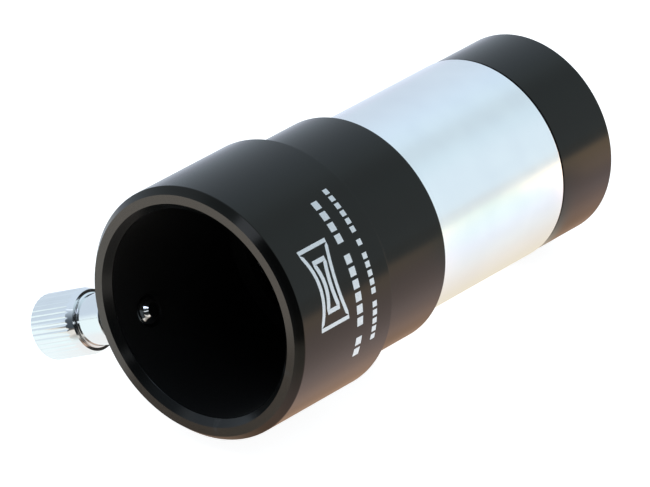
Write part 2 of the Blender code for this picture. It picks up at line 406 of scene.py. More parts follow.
def new_material(name):
    """A material with a Principled BSDF, its tree and that shader."""
    material = bpy.data.materials.new(name)
    material.use_nodes = True
    tree = material.node_tree
    return material, tree, tree.nodes["Principled BSDF"]


def object_place(tree):
    """A point's place in its piece's own frame."""
    return add_node(tree, "ShaderNodeTexCoord").outputs["Object"]


def lathe_place(tree, place):
    """That place as (radius, height) on the lathe."""
    parts = add_node(tree, "ShaderNodeSeparateXYZ", {0: place})
    flat = add_node(tree, "ShaderNodeCombineXYZ", {0: parts.outputs[0], 1: parts.outputs[1]})
    radius = add_node(tree, "ShaderNodeVectorMath", {0: flat.outputs[0]}, operation="LENGTH")
    return add_node(
        tree, "ShaderNodeCombineXYZ", {0: radius.outputs["Value"], 1: parts.outputs[2]}
    ).outputs[0]


def noise(tree, place, size, detail=2.0, roughness=0.5):
    """Noise whose features are about that size in metres."""
    return add_node(
        tree,
        "ShaderNodeTexNoise",
        {"Vector": place, "Scale": 1 / size, "Detail": detail, "Roughness": roughness},
    ).outputs[0]


def spread(tree, value, low, high):
    """A noise value spread over low to high."""
    return map_range(tree, value, NOISE_LOW, NOISE_HIGH, low, high)


# ---------------------------------------------------------------- materials

CLOUD_SIZE = 6 * MM

# How sharp an edge has to be before it is rubbed, and how sharp to be rubbed fully
RUB_STARTS = 0.54
RUB_FULL = 0.62


def turned_finish(name, dark, light, metallic, roughness, rough_spread, ior,
                  line_size, line_depth, grain_size, grain_depth, edge_colour,
                  gloss=(1.0, 1.0, 1.0)):
    """A machined surface: fine turning lines, a grain, uneven sheen and slightly rubbed edges."""
    material, tree, shader = new_material(name)
    place = object_place(tree)
    lines = noise(tree, lathe_place(tree, place), line_size, 3.0, 0.6)
    grain = noise(tree, place, grain_size)
    cloud = noise(tree, place, CLOUD_SIZE, 3.0)

    tint = mixed_colour(tree, spread(tree, cloud, 0.0, 1.0), dark, light)
    sharpness = add_node(tree, "ShaderNodeNewGeometry").outputs["Pointiness"]
    worn = map_range(tree, sharpness, RUB_STARTS, RUB_FULL)
    rubbed = math_node(tree, "MULTIPLY", worn, spread(tree, grain, 0.2, 1.0))
    tree.links.new(mixed_colour(tree, rubbed, tint, edge_colour), shader.inputs["Base Color"])

    uneven = math_node(tree, "MULTIPLY", math_node(tree, "ADD", lines, cloud), 0.5)
    tree.links.new(
        spread(tree, uneven, roughness - rough_spread, roughness + rough_spread),
        shader.inputs["Roughness"],
    )
    fine = add_node(
        tree, "ShaderNodeBump", {"Height": grain, "Distance": grain_depth, "Strength": 1.0}
    )
    bumps = add_node(
        tree,
        "ShaderNodeBump",
        {"Height": lines, "Distance": line_depth, "Strength": 1.0, "Normal": fine.outputs[0]},
    )
    tree.links.new(bumps.outputs[0], shader.inputs["Normal"])
    shader.inputs["Metallic"].default_value = metallic
    shader.inputs["IOR"].default_value = ior
    shader.inputs["Specular Tint"].default_value = (*gloss, 1.0)
    return material


def coated_glass(name, tint, coat, ior):
    """Polished glass with an antireflection coating, and a trace of haze."""
    material, tree, shader = new_material(name)
    haze = noise(tree, object_place(tree), 2.5 * MM, 4.0)
    tree.links.new(mixed_colour(tree, spread(tree, haze, 0.0, 1.0), tint, (1.0, 1.0, 1.0)),
                   shader.inputs["Base Color"])
    tree.links.new(spread(tree, haze, 0.0, 0.02), shader.inputs["Roughness"])
    shader.inputs["Transmission Weight"].default_value = 1.0
    shader.inputs["IOR"].default_value = ior
    shader.inputs["Specular Tint"].default_value = (*coat, 1.0)
    return material


def painted(name, colour, other, roughness, size, depth):
    """A thin matt or satin paint with a slightly uneven surface."""
    material, tree, shader = new_material(name)
    grain = noise(tree, object_place(tree), size, 3.0)
    tree.links.new(mixed_colour(tree, spread(tree, grain, 0.0, 1.0), colour, other),
                   shader.inputs["Base Color"])
    tree.links.new(spread(tree, grain, roughness - 0.06, roughness + 0.06),
                   shader.inputs["Roughness"])
    bump = add_node(tree, "ShaderNodeBump", {"Height": grain, "Distance": depth})
    tree.links.new(bump.outputs[0], shader.inputs["Normal"])
    shader.inputs["IOR"].default_value = 1.4
    return material


def make_materials():
    """Every finish on the object, by name."""
    return {
        "black": turned_finish(
            "satin_black_anodised", (0.0018, 0.0018, 0.0018), (0.0028, 0.0028, 0.0027),
            metallic=0.0, roughness=0.17, rough_spread=0.025, ior=1.33,
            line_size=0.35 * MM, line_depth=0.00035 * MM,
            grain_size=0.12 * MM, grain_depth=0.0004 * MM,
            edge_colour=(0.030, 0.030, 0.031), gloss=(1.0, 0.96, 0.85),
        ),
        # The rim's face: its brown base colour, brighter than the black, is a painted warm
        # reflection of the table on top of the turned face's own gloss
        "rim": turned_finish(
            "rim_anodised_painted_reflection", (0.0200, 0.0120, 0.0050), (0.0280, 0.0165, 0.0075),
            metallic=0.0, roughness=0.20, rough_spread=0.03, ior=1.74,
            line_size=0.25 * MM, line_depth=0.0005 * MM,
            grain_size=0.12 * MM, grain_depth=0.0003 * MM,
            edge_colour=(0.035, 0.034, 0.033),
        ),
        "lead_in": turned_finish(
            "lead_in_black_anodised", (0.0032, 0.0034, 0.0033), (0.0042, 0.0044, 0.0043),
            metallic=0.0, roughness=0.20, rough_spread=0.03, ior=1.39,
            line_size=0.25 * MM, line_depth=0.0005 * MM,
            grain_size=0.12 * MM, grain_depth=0.0003 * MM,
            edge_colour=(0.020, 0.020, 0.020),
        ),
        "chrome": turned_finish(
            "satin_chrome", (0.83, 0.845, 0.865), (0.87, 0.885, 0.895),
            metallic=1.0, roughness=0.20, rough_spread=0.025, ior=1.5,
            line_size=0.30 * MM, line_depth=0.0003 * MM,
            grain_size=0.15 * MM, grain_depth=0.0002 * MM,
            edge_colour=(0.92, 0.93, 0.94),
        ),
        "bright": turned_finish(
            "bright_chrome", (0.84, 0.86, 0.88), (0.88, 0.90, 0.91),
            metallic=1.0, roughness=0.10, rough_spread=0.03, ior=1.5,
            line_size=0.20 * MM, line_depth=0.0002 * MM,
            grain_size=0.10 * MM, grain_depth=0.0002 * MM,
            edge_colour=(0.94, 0.95, 0.95),
        ),
        "inner": painted("flat_black", (0.0025, 0.0025, 0.0026), (0.0045, 0.0045, 0.0046),
                         0.72, 0.25 * MM, 0.01 * MM),
        "crown": coated_glass("crown_glass", (0.95, 1.0, 0.985), (0.35, 0.75, 1.0), 1.52),
        "flint": coated_glass("flint_glass", (0.94, 1.0, 0.97), (0.45, 1.0, 0.62), 1.62),
        "ground": painted("ground_glass_edge", (0.42, 0.45, 0.44), (0.55, 0.58, 0.57),
                          0.8, 0.08 * MM, 0.01 * MM),
        "print": painted("white_print", (0.74, 0.76, 0.77), (0.84, 0.86, 0.88),
                         0.45, 0.3 * MM, 0.002 * MM),
    }


# ---------------------------------------------------------------- pieces on the optical axis

def make_holder(finish):
    """Socket, rim and collar, with the tapped hole for the thumbscrew."""
    web_front = RIM_Y + SOCKET_DEPTH
    web_back = web_front + WEB_THICKNESS
    spigot_bore = SPIGOT_R + FIT
    seat_r = BARREL_R + FIT
    lead_in = RIM_INNER_R - SOCKET_R
    outside = rounded([
        (spigot_bore, -SEAT_DEPTH, 0.0),
        (seat_r, -SEAT_DEPTH, 0.0),
        (seat_r, COLLAR_END_Y, EDGE / 2),
        (COLLAR_R, COLLAR_END_Y, EDGE),
        (COLLAR_R, STEP_Y, EDGE / 2),
        (HOLDER_R, STEP_Y, EDGE / 2),
        (HOLDER_R, RIM_Y + RIM_CHAMFER, EDGE),
        (RIM_OUTER_R, RIM_Y, 0.0),
    ])
    face = [(RIM_OUTER_R, RIM_Y), (RIM_INNER_R, RIM_Y)]
    chamfer = rounded([
        (RIM_INNER_R, RIM_Y, 0.0),
        (SOCKET_R, RIM_Y + lead_in, EDGE),
        (SOCKET_R, RIM_Y + lead_in + EDGE, 0.0),
    ])
    inside = rounded([
        (SOCKET_R, RIM_Y + lead_in + EDGE, 0.0),
        (SOCKET_R, web_front, EDGE),
        (WEB_HOLE_R, web_front, EDGE),
        (WEB_HOLE_R, web_back, EDGE),
        (spigot_bore, web_back, 0.0),
        (spigot_bore, -SEAT_DEPTH, 0.0),
    ])
    shape = bmesh.new()
    add_wall(shape, outside, BODY_STEPS)
    # The rim's face takes the finish whose brown colour is a painted warm reflection
    add_wall(shape, face, BODY_STEPS, slot=1)
    add_wall(shape, chamfer, BODY_STEPS, slot=3)
    add_wall(shape, inside, BODY_STEPS, slot=2)
    holder = add_piece(
        "eyepiece_holder_shell", shape, OPTICAL_FRAME,
        [finish["black"], finish["rim"], finish["inner"], finish["lead_in"]],
        "holder", ["eyepiece_holder"],
    )
    tap = bmesh.new()
    inner, outer = SOCKET_R - OVERRUN, HOLDER_R + OVERRUN
    start, mouth = SOCKET_R + TAP_COUNTERSINK, HOLDER_R - TAP_COUNTERSINK
    wide_r = TAP_ROOT_R + TAP_COUNTERSINK
    add_wall(tap, [(0.0, inner), (wide_r, inner), (wide_r, SOCKET_R), (TAP_ROOT_R, start),
                   (TAP_CREST_R, start)], SCREW_STEPS)
    add_thread(tap, start, mouth, TAP_CREST_R, TAP_ROOT_R, SCREW_PITCH, SCREW_STEPS,
               TAP_CREST_R, TAP_CREST_R)
    add_wall(tap, [(TAP_CREST_R, mouth), (TAP_ROOT_R, mouth), (wide_r, HOLDER_R),
                   (wide_r, outer), (0.0, outer)], SCREW_STEPS)
    cut(holder, add_piece("tap", tap, SCREW_FRAME, [finish["inner"]], None))
    return steady_normals(holder)


def make_barrel(finish):
    """The bright tube, black inside, with the filter thread in its far end."""
    thread_start = BARREL_END_Y - BARREL_THREAD_LENGTH
    mouth_r = FILTER_FEMALE_ROOT_R + BARREL_MOUTH_CHAMFER
    shoulder = -SEAT_DEPTH + FIT
    outside = rounded([
        (BARREL_BORE_R, BARREL_START_Y, 0.0),
        (SPIGOT_R, BARREL_START_Y, EDGE),
        (SPIGOT_R, shoulder, 0.0),
        (BARREL_R, shoulder, 0.0),
        (BARREL_R, BARREL_END_Y, 1.5 * EDGE),
        (mouth_r, BARREL_END_Y, 0.0),
    ])
    shape = bmesh.new()
    add_wall(shape, outside, BODY_STEPS)
    add_thread(shape, thread_start, BARREL_END_Y, FILTER_FEMALE_CREST_R, FILTER_FEMALE_ROOT_R,
               FILTER_PITCH, BODY_STEPS, mouth_r, mouth_r, slot=1)
    add_wall(shape, [(mouth_r, thread_start), (BARREL_BORE_R, thread_start),
                     (BARREL_BORE_R, BARREL_START_Y)], BODY_STEPS, slot=1)
    return steady_normals(add_piece(
        "nosepiece_barrel_tube", shape, OPTICAL_FRAME, [finish["chrome"], finish["inner"]],
        "holder", ["nosepiece_barrel"],
    ))


def make_glare_stop(finish):
    """A black ring in the barrel, bevelled to a thin lip so that its edge throws no light."""
    lip_end = STOP_START_Y + STOP_LIP
    profile = rounded([
        (BARREL_BORE_R - FIT, STOP_END_Y, EDGE),
        (BARREL_BORE_R - FIT, STOP_START_Y, EDGE),
        (STOP_HOLE_R, STOP_START_Y, 0.0),
        (STOP_HOLE_R, lip_end, 0.0),
        (STOP_HOLE_R + STOP_END_Y - lip_end, STOP_END_Y, 0.0),
    ], closed=True)
    shape = bmesh.new()
    add_wall(shape, profile + profile[:1], BODY_STEPS)
    return steady_normals(add_piece(
        "glare_stop_ring", shape, OPTICAL_FRAME, [finish["inner"]],
        "holder", ["glare_stop"],
    ))


def make_cell(finish):
    """The black end piece: thread for the barrel, lens seat, ring bore and filter thread."""
    seat_start = CELL_START_Y + SEAT_TAPER
    seat = seat_start + SEAT_THICKNESS
    recess = CELL_END_Y - RECESS_DEPTH
    pocket_r = LENS_R + FIT
    ring_bore = RING_R + FIT
    mouth_r = FILTER_FEMALE_ROOT_R + CELL_MOUTH_CHAMFER
    nose_r = FILTER_MALE_ROOT_R - CELL_NOSE_CHAMFER
    relief = CELL_SHOULDER_Y - CELL_RELIEF
    outside = rounded([
        (nose_r, relief, 0.0),
        (nose_r, CELL_SHOULDER_Y, 0.0),
        (CELL_R, CELL_SHOULDER_Y, EDGE / 2),
        (CELL_R, CELL_END_Y, 2 * EDGE),
        (mouth_r, CELL_END_Y, EDGE),
    ])
    inside = rounded([
        (mouth_r, recess, 0.0),
        (ring_bore, recess, EDGE),
        (ring_bore, RING_START_Y - FIT, 0.0),
        (pocket_r, RING_START_Y - FIT, 0.0),
        (pocket_r, seat, 0.0),
        (SEAT_HOLE_R, seat, EDGE / 2),
        (SEAT_HOLE_R, seat_start, EDGE / 2),
        (CELL_REAR_HOLE_R, CELL_START_Y, EDGE),
        (nose_r, CELL_START_Y, 0.0),
    ])
    shape = bmesh.new()
    add_wall(shape, outside, BODY_STEPS)
    add_thread(shape, recess, CELL_END_Y, FILTER_FEMALE_CREST_R, FILTER_FEMALE_ROOT_R,
               FILTER_PITCH, BODY_STEPS, mouth_r, mouth_r, slot=1)
    add_wall(shape, inside, BODY_STEPS, slot=1)
    add_thread(shape, CELL_START_Y, relief, FILTER_MALE_ROOT_R, FILTER_MALE_CREST_R,
               FILTER_PITCH, BODY_STEPS, nose_r, nose_r)
    return steady_normals(add_piece(
        "lens_cell_body", shape, OPTICAL_FRAME, [finish["black"], finish["inner"]],
        "cell", ["lens_cell"],
    ))


def sagitta(curve, radius):
    """Depth of a spherical face at a distance from its axis."""
    return curve - math.sqrt(curve ** 2 - radius ** 2)


def lens_face(curve, edge_y, bulge, edge_r):
    """Points from the edge of a lens face to its centre. bulge is +1 or -1 along the axis."""
    points = []
    for i in range(LENS_RINGS + 1):
        radius = edge_r * (1 - i / LENS_RINGS)
        rise = sagitta(curve, edge_r) - sagitta(curve, radius)
        points.append((radius, edge_y + bulge * rise))
    return points


def make_lens(name, faces, finishes, node):
    """One lens from its two faces, each (curve, edge height, bulge), with a ground edge."""
    edge_r = LENS_R - LENS_BEVEL
    rear = lens_face(*faces[0], edge_r)
    front = lens_face(*faces[1], edge_r)
    start, end = faces[0][1], faces[1][1]
    rim = [
        (edge_r, start),
        (LENS_R, start + LENS_BEVEL),
        (LENS_R, end - LENS_BEVEL),
        (edge_r, end),
    ]
    shape = bmesh.new()
    add_wall(shape, rear[::-1], LENS_STEPS)
    add_wall(shape, rim, LENS_STEPS, slot=1)
    add_wall(shape, front, LENS_STEPS)
    return add_piece(name, shape, OPTICAL_FRAME, finishes, "lens_pair", [node])


def make_lenses(finish):
    """The crown towards the barrel and the flint in front of it, cemented face to face."""
    joint_edge = FLINT_END_Y - FLINT_EDGE
    make_lens(
        "crown_lens_glass",
        ((CROWN_REAR_CURVE, CROWN_START_Y, 1), (SHARED_CURVE, joint_edge - CEMENT, -1)),
        [finish["crown"], finish["ground"]], "crown_lens",
    )
    make_lens(
        "flint_lens_glass",
        ((SHARED_CURVE, joint_edge, -1), (FLINT_FRONT_CURVE, FLINT_END_Y, -1)),
        [finish["flint"], finish["ground"]], "flint_lens",
    )


def make_retaining_ring(finish):
    """The ring in front of the lens, with two slots for a spanner."""
    profile = rounded([
        (RING_R, RING_END_Y, 2 * EDGE),
        (RING_R, RING_REAR_Y, EDGE),
        (RING_HOLE_R, RING_REAR_Y, EDGE),
        (RING_HOLE_R, RING_END_Y - RING_LIP, EDGE),
        (RING_HOLE_R + RING_BEVEL, RING_END_Y, EDGE),
    ], closed=True)
    shape = bmesh.new()
    add_wall(shape, profile + profile[:1], BODY_STEPS)
    ring = add_piece(
        "retaining_ring_body", shape, OPTICAL_FRAME, [finish["black"]],
        "cell", ["retaining_ring"],
    )
    slots = bmesh.new()
    bmesh.ops.create_cube(slots, size=1.0)
    size = (2 * RING_R + OVERRUN, SLOT_WIDTH, 2 * SLOT_DEPTH)
    bmesh.ops.scale(slots, verts=slots.verts, vec=size)
    bmesh.ops.translate(slots, verts=slots.verts, vec=(0.0, 0.0, RING_END_Y))
    cut(ring, add_piece("slots", slots, OPTICAL_FRAME, [finish["black"]], None))
    return steady_normals(ring)


# ---------------------------------------------------------------- pieces on the thumbscrew's axis

def make_stud(finish):
    """Chamfered tip, threaded shank, smooth neck, and the spigot that the knob turns on."""
    neck_end = KNOB_START + KNOB_RECESS_DEPTH - FIT
    spigot_end = neck_end + STUD_SPIGOT_LENGTH
    thread_end = NECK_START - NECK_UNDERCUT
    shape = bmesh.new()
    add_wall(shape, [(0.0, SCREW_TIP), (TIP_FLAT_R, SCREW_TIP)], SCREW_STEPS)
    add_thread(shape, SCREW_TIP, thread_end, STUD_ROOT_R, STUD_CREST_R, SCREW_PITCH,
               SCREW_STEPS, TIP_FLAT_R, STUD_ROOT_R)
    add_wall(shape, rounded([
        (STUD_ROOT_R, thread_end, 0.0),
        (STUD_ROOT_R, NECK_START, EDGE),
        (NECK_R, NECK_START, 2.5 * EDGE),
        (NECK_R, NECK_COLLAR_START, EDGE),
        (NECK_COLLAR_R, NECK_COLLAR_START + NECK_COLLAR_CHAMFER, EDGE / 2),
        (NECK_COLLAR_R, neck_end, 0.0),
        (STUD_SPIGOT_R, neck_end, 0.0),
        (STUD_SPIGOT_R, spigot_end, EDGE),
        (0.0, spigot_end, 0.0),
    ]), SCREW_STEPS)
    return steady_normals(add_piece(
        "thumbscrew_stud_steel", shape, SCREW_FRAME, [finish["bright"]],
        "stud", ["thumbscrew_stud"],
    ))


def knurl_radius(i):
    """Largest radius of the knob at a step: round-topped teeth with narrow grooves between."""
    phase = (i % SAMPLES_PER_TOOTH) / SAMPLES_PER_TOOTH - 0.5
    groove = max(0.0, 1.0 - abs(phase) / KNURL_GROOVE)
    return KNURL_R - KNURL_DEPTH * groove


def make_knob(finish):
    """The knurled cap with its smooth cone, its recess round the neck and a dished end."""
    recess_floor = KNOB_START + KNOB_RECESS_DEPTH
    bore_r = STUD_SPIGOT_R + FIT
    bore_end = recess_floor + STUD_SPIGOT_LENGTH + FIT
    dish_floor = KNOB_END - KNOB_DISH_DEPTH
    profile = rounded([
        (0.0, bore_end, 0.0),
        (bore_r, bore_end, 0.0),
        (bore_r, recess_floor, 0.0),
        (NECK_COLLAR_R + FIT, recess_floor, 0.0),
        (NECK_COLLAR_R + FIT, KNOB_START, 0.0),
        (KNOB_LIP_R, KNOB_START, EDGE / 2),
    ])
    for i in range(1, KNOB_CONE_ROWS + 1):
        t = i / KNOB_CONE_ROWS
        profile.append((
            KNOB_LIP_R + (KNURL_R - KNOB_LIP_R) * t,
            KNOB_START + (KNURL_START - KNOB_START) * t,
        ))
    chamfer_start = KNOB_END - KNOB_END_CHAMFER
    profile.append((KNURL_R, chamfer_start - KNURL_DEPTH))
    for i in range(KNOB_CONE_ROWS + 1):
        drop = KNOB_END_CHAMFER * i / KNOB_CONE_ROWS
        profile.append((KNURL_R - drop, chamfer_start + drop))
    profile += rounded([
        (KNURL_R - KNOB_END_CHAMFER, KNOB_END, 0.0),
        (KNOB_DISH_R, KNOB_END, 2 * EDGE),
        (KNOB_DISH_R - KNOB_DISH_DEPTH, dish_floor, 2 * EDGE),
        (0.0, dish_floor, 0.0),
    ])[1:]
    shape = bmesh.new()
    add_wall(shape, profile, KNURL_TEETH * SAMPLES_PER_TOOTH, limit=knurl_radius)
    return add_piece(
        "thumbscrew_knob_cap", shape, SCREW_FRAME, [finish["bright"]],
        "knob", ["thumbscrew_knob"],
    )


# ---------------------------------------------------------------- printed marks on the holder

PRINT_PROUD = 0.02 * MM
PRINT_DEPTH = 0.05 * MM

# The corners of a band of ink across its path: side of the path, and height above the holder
INK_CORNERS = ((1, PRINT_PROUD), (-1, PRINT_PROUD), (-1, -PRINT_DEPTH), (1, -PRINT_DEPTH))

# The symbol's nested outlines: half length, half height, half waist and line width
LENS_MARK_STEPS = 14
LENS_MARK_ACROSS = 7.4 * MM
LENS_MARK_Y = -28.0 * MM
LENS_MARK = (
    (5.9 * MM, 3.1 * MM, 1.7 * MM, 0.62 * MM),
    (3.7 * MM, 1.25 * MM, 0.55 * MM, 0.70 * MM),
)

# Each row of bars: Y, first place round the holder, height, bars in each word, bar, gap, space
BAR_ROWS = (
    (-22.4 * MM, -6.0 * MM, 1.30 * MM, (2, 6, 4), 1.35 * MM, 0.55 * MM, 1.3 * MM),
    (-19.0 * MM, -4.5 * MM, 0.95 * MM, (5, 5, 1, 6), 0.90 * MM, 0.42 * MM, 0.75 * MM),
)


def on_holder(across, y, proud):
    """The place on the holder's wall at an arc length round it and a Y, in the optical frame."""
    x, z, _ = on_circle(HOLDER_R + proud, across / HOLDER_R, y)
    return OPTICAL_FRAME.inverted() @ Vector((x, y, z))


def add_stroke(shape, path, width, closed=False):
    """A band of ink along (across, along) points, with its own thickness."""
    count = len(path)
    columns = []
    for i, (u, v) in enumerate(path):
        before = Vector(path[i - 1]) if i or closed else Vector((u, v))
        after = Vector(path[(i + 1) % count]) if i < count - 1 or closed else Vector((u, v))
        run = (after - before).normalized()
        side = Vector((-run.y, run.x)) * width / 2
        corners = []
        for sign, proud in INK_CORNERS:
            place = on_holder(u + sign * side.x, v + sign * side.y, proud)
            corners.append(shape.verts.new(place))
        columns.append(corners)
    pairs = list(zip(columns, columns[1:]))
    if closed:
        pairs.append((columns[-1], columns[0]))
    for here, there in pairs:
        for k in range(len(here)):
            m = (k + 1) % len(here)
            shape.faces.new((here[k], here[m], there[m], there[k]))
    if not closed:
        shape.faces.new(columns[0])
        shape.faces.new(columns[-1])


def lens_outline(half_length, half_height, waist):
    """Points round a lens that is thin in its middle, as (across, along) from its centre."""
    points = []
    for side in (1, -1):
        for i in range(LENS_MARK_STEPS + 1):
            t = 2 * i / LENS_MARK_STEPS - 1
            half = waist + (half_height - waist) * t * t
            points.append((side * t * half_length, side * half))
    return points


def make_print(finish):
    """Generic marks in place of lettering: a diverging-lens symbol and two rows of plain bars."""
    shape = bmesh.new()
    for half_length, half_height, waist, width in LENS_MARK:
        outline = lens_outline(half_length, half_height, waist)
        path = [(LENS_MARK_ACROSS + u, LENS_MARK_Y + v) for u, v in outline]
        add_stroke(shape, path, width, closed=True)
    for y, start, height, words, bar, gap, space in BAR_ROWS:
        u = start
        for word in words:
            for _ in range(word):
                add_stroke(shape, [(u + bar * n / 2, y) for n in range(3)], height)
                u += bar + gap
            u += space
    return add_piece("holder_print", shape, OPTICAL_FRAME, [finish["print"]], "holder")


# ---------------------------------------------------------------- camera

CAMERA_AZIMUTH = math.radians(38.28)
CAMERA_ELEVATION = math.radians(25.61)
CAMERA_DISTANCE = 1.1243
CAMERA_AIM = Vector((-4.70, -0.06, -3.51)) * MM
CAMERA_LENS = 426.0

TOWARDS_CAMERA = Vector((
    math.sin(CAMERA_AZIMUTH) * math.cos(CAMERA_ELEVATION),
    -math.cos(CAMERA_AZIMUTH) * math.cos(CAMERA_ELEVATION),
    math.sin(CAMERA_ELEVATION),
))


def make_camera():
    """A long lens from the front right, a little above the object."""
    lens = bpy.data.cameras.new("camera")
    lens.lens = CAMERA_LENS
    lens.sensor_width = 36.0
    lens.clip_start = 0.05
    lens.clip_end = 50.0
    camera = bpy.data.objects.new("camera", lens)
    camera.location = CAMERA_AIM + TOWARDS_CAMERA * CAMERA_DISTANCE
    camera.rotation_mode = "QUATERNION"
    camera.rotation_quaternion = (-TOWARDS_CAMERA).to_track_quat("-Z", "Y")
    bpy.context.scene.collection.objects.link(camera)
    bpy.context.scene.camera = camera


# ---------------------------------------------------------------- floor, and a glowing sheet with the table's painted reflection and shade

STAGE_SIZE = 4.0
TABLE_DROP = 0.2 * MM

# The table's painted light, by how far it is to the right of the optical axis, where the black
# parts
# and where the bright barrel mirror it: painted warm shade near the object, brighter further off
TABLE_RIGHT = 140 * MM
UNDER_BLACK_LEFT = -200 * MM
UNDER_BLACK = (
    (-190 * MM, (0.68, 0.75, 0.85)),
    (-110 * MM, (0.78, 0.86, 0.97)),
    (-75 * MM, (0.80, 0.88, 0.99)),
    (-48 * MM, (0.90, 0.98, 1.03)),
    (-32 * MM, (0.97, 1.06, 1.08)),
    (-18 * MM, (0.98, 0.92, 0.88)),
    (-6 * MM, (0.64, 0.47, 0.37)),
    (7 * MM, (0.60, 0.40, 0.28)),
    (12 * MM, (0.80, 0.52, 0.36)),
    (16 * MM, (1.24, 0.87, 0.70)),
    (24 * MM, (1.48, 1.17, 1.10)),
    (46 * MM, (1.55, 1.26, 1.20)),
    (95 * MM, (2.00, 1.62, 1.28)),
    (118 * MM, (1.25, 1.10, 1.00)),
    (138 * MM, (0.74, 0.82, 0.85)),
)
UNDER_BARREL_LEFT = -80 * MM
UNDER_BARREL = (
    (-75 * MM, (0.86, 0.93, 1.00)),
    (-6 * MM, (0.93, 0.88, 0.78)),
    (9 * MM, (0.92, 0.83, 0.67)),
    (15 * MM, (0.96, 0.89, 0.80)),
    (22 * MM, (0.97, 0.98, 0.97)),
    (32 * MM, (0.97, 1.03, 1.12)),
    (46 * MM, (0.96, 1.12, 1.15)),
    (95 * MM, (0.88, 1.10, 1.03)),
    (118 * MM, (0.82, 1.00, 0.96)),
    (138 * MM, (0.76, 0.86, 0.88)),
)

# How much brighter the painted table light that the black parts mirror is where the lens cell
# mirrors it
BESIDE_CELL_LEFT = 20 * MM
BESIDE_CELL = (
    (28 * MM, (1.05, 1.05, 1.08)),
    (42 * MM, (1.60, 1.50, 1.25)),
    (75 * MM, (1.60, 1.50, 1.25)),
    (110 * MM, (1.30, 1.25, 1.20)),
)

# The strip that the barrel mirrors starts straight, then bends away as a power of the distance
STRIP_START = 9 * MM
STRIP_BEND_START = 7 * MM
STRIP_BEND = 0.228 * MM
STRIP_BEND_POWER = 1.29
STRIP_BLUR = 2 * MM

# Painted light in front of the object, and the painted shade under its rim
FRONT_PAINTED_LIGHT = (0.90, 0.86, 0.79)
FRONT_LEFT_PAINTED_LIGHT = (0.95, 1.08, 1.09)
SHADE_X = -6 * MM
SHADE_Y = -56 * MM
SHADE_HALF_WIDTH = 19 * MM
SHADE_HALF_LENGTH = 24 * MM
SHADE_LEVEL = 0.37

# The table's painted light ends towards the camera and on the right
TABLE_END_WAY = (0.6, -0.8, 0.0)
BEYOND_TABLE_LEVEL = 0.12


def floor_frame(drop):
    """Where the Barlow rests: under the cell's far edge and the knob at its furthest out."""
    knob_centre = SCREW_FOOT + SCREW_OUT * (KNOB_END + SCREW_TRAVEL)
    knob_low = knob_centre.z - KNURL_R * math.hypot(SCREW_OUT.x, SCREW_OUT.y)
    run = Vector((0.0, CELL_END_Y - knob_centre.y, -CELL_R - knob_low)).normalized()
    up = Vector((1.0, 0.0, 0.0)).cross(run)
    centre = Vector((0.0, CELL_END_Y, -CELL_R)) - up * drop
    return Matrix.Translation(centre) @ Matrix((
        (1.0, 0.0, 0.0, 0.0),
        (0.0, run.y, up.y, 0.0),
        (0.0, run.z, up.z, 0.0),
        (0.0, 0.0, 0.0, 1.0),
    ))


def add_plane(name, matrix, material):
    """A large square plane of the stage."""
    shape = bmesh.new()
    bmesh.ops.create_grid(shape, x_segments=1, y_segments=1, size=STAGE_SIZE / 2)
    mesh = bpy.data.meshes.new(name)
    shape.to_mesh(mesh)
    shape.free()
    mesh.materials.append(material)
    plane = bpy.data.objects.new(name, mesh)
    plane.matrix_world = matrix
    bpy.context.scene.collection.objects.link(plane)
    return plane


def make_floor():
    """A plain white floor, and a glowing sheet under it that only reflections show: painted table
    light.
    """
    white, _, shader = new_material("floor_white")
    shader.inputs["Base Color"].default_value = (0.60, 0.60, 0.60, 1.0)
    shader.inputs["Roughness"].default_value = 0.9
    shader.inputs["Specular IOR Level"].default_value = 0.0
    shader.inputs["Emission Color"].default_value = (1.0, 1.0, 1.0, 1.0)
    shader.inputs["Emission Strength"].default_value = 0.92
    floor = add_plane("floor", floor_frame(0.0), white)
    floor.visible_glossy = False
    floor.visible_shadow = False

    table = add_plane("table_glow", floor_frame(TABLE_DROP), make_painted_table_light())
    table.visible_camera = False
    table.visible_diffuse = False


def barrel_strip(tree, x, y):
    """How far a place is past the start of the strip of table that the barrel mirrors."""
    out = math_node(tree, "MAXIMUM", math_node(tree, "SUBTRACT", x, STRIP_BEND_START), 0.0)
    bend = math_node(tree, "POWER", math_node(tree, "DIVIDE", out, MM), STRIP_BEND_POWER)
    back = math_node(tree, "SUBTRACT", y, math_node(tree, "MULTIPLY", bend, STRIP_BEND))
    return math_node(tree, "SUBTRACT", back, STRIP_START)


def under_object(tree, x, y):
    """The table's painted light under the object and on its right: painted shade and bounce light.
    """
    strip = barrel_strip(tree, x, y)
    inside = math_node(
        tree, "MULTIPLY",
        stepped(tree, strip, -STRIP_BLUR, STRIP_BLUR, 0.0, 1.0),
        stepped(tree, strip, BARREL_END_Y - STRIP_BLUR, BARREL_END_Y + STRIP_BLUR, 1.0, 0.0),
    )
    black = ramped(tree, x, UNDER_BLACK_LEFT, TABLE_RIGHT, UNDER_BLACK)
    bright = ramped(tree, x, UNDER_BARREL_LEFT, TABLE_RIGHT, UNDER_BARREL)
    # Painted light of the table: warm painted shade under the black parts, whiter painted bounce
    # under the barrel
    tint = mixed_colour(tree, inside, black, bright)
    past_barrel = stepped(tree, strip, BARREL_END_Y + 3 * MM, BARREL_END_Y + 8 * MM, 0.0, 1.0)
    lift = ramped(tree, x, BESIDE_CELL_LEFT, TABLE_RIGHT, BESIDE_CELL)
    lifted = mixed_colour(tree, 1.0, tint, lift, "MULTIPLY")
    return mixed_colour(tree, past_barrel, tint, lifted)


